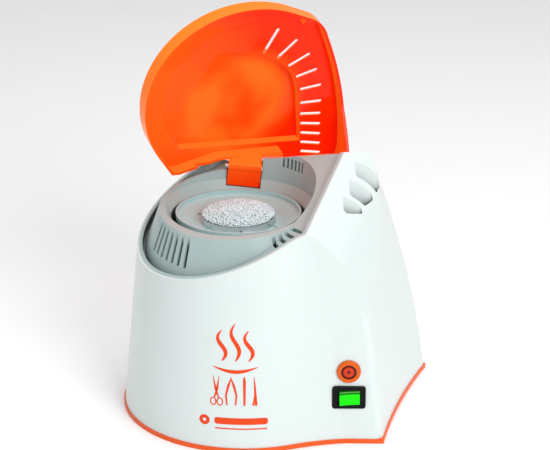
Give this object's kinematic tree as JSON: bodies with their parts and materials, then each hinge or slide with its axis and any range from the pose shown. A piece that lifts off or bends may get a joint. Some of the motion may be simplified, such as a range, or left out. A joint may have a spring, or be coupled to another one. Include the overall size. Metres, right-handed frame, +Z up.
{
  "type": "bead steriliser",
  "caption": "Table-top quartz-bead steriliser for salon tools: heated well in a sloping grey cover, hinged orange lid, white housing with tool pockets, rocker switch and pilot lamp.",
  "frame": {"origin": "chamber axis where it meets the bench, on the base plate's underside", "axes": "+X to the right of the front, +Y to the back, +Z up along the bead well"},
  "size_m": [0.2044, 0.1831, 0.2639],
  "materials": {
    "white_shell": "satin",
    "grey_cover": "satin",
    "orange_trim": "gloss",
    "foot_rubber": "matt",
    "screw_steel": "zinc plated",
    "well_aluminium": "turned",
    "grey_dish": "satin",
    "quartz": "small round beads",
    "heater_steel": "rolled",
    "insulation": "woven ceramic fibre",
    "shield_steel": "rolled",
    "bracket_steel": "pressed",
    "black_moulding": "fine texture",
    "white_moulding": "moulded",
    "fuse_ceramic": "glazed",
    "contact_brass": "plain",
    "lamp_orange": "gloss",
    "lamp_glass": "gloss",
    "pin_steel": "polished",
    "orange_clear": "gloss, slightly translucent",
    "green_rocker": "gloss, lit"
  },
  "bodies": {
    "base": {"housing": "white_shell", "top_cover": "grey_cover", "base_plate": "orange_trim", "rubber_feet": "foot_rubber", "base_screws": "screw_steel", "bead_well": "well_aluminium", "dish": "grey_dish", "quartz_beads": "quartz", "heater_band": "heater_steel", "insulation_sleeve": "insulation", "heat_shield": "shield_steel", "chamber_bracket": "bracket_steel", "bracket_screws": "screw_steel", "thermostat": "black_moulding", "thermal_fuse": "fuse_ceramic", "terminal_block": "white_moulding", "power_inlet": "black_moulding", "inlet_pins": "contact_brass", "inlet_screws": "screw_steel", "switch_body": "black_moulding", "switch_terminals": "contact_brass", "lamp_bezel": "lamp_orange", "lamp_lens": "lamp_glass", "lamp_nut": "white_moulding", "hinge_pin": "pin_steel"},
    "lid": {"lid": "orange_clear"},
    "rocker": {"rocker": "green_rocker"}
  },
  "joints": [
    {"name": "lid_hinge", "type": "hinge", "parent": "base", "child": "lid", "pos_m": [0, 0.048, 0.146], "axis": [0.9944, 0, -0.1056], "range_deg": [0, 89.3]},
    {"name": "rocker_tilt", "type": "hinge", "parent": "base", "child": "rocker", "pos_m": [0.07, -0.0626, 0.0317], "axis": [0, 0, 1], "range_deg": [-16, 0]}
  ]
}
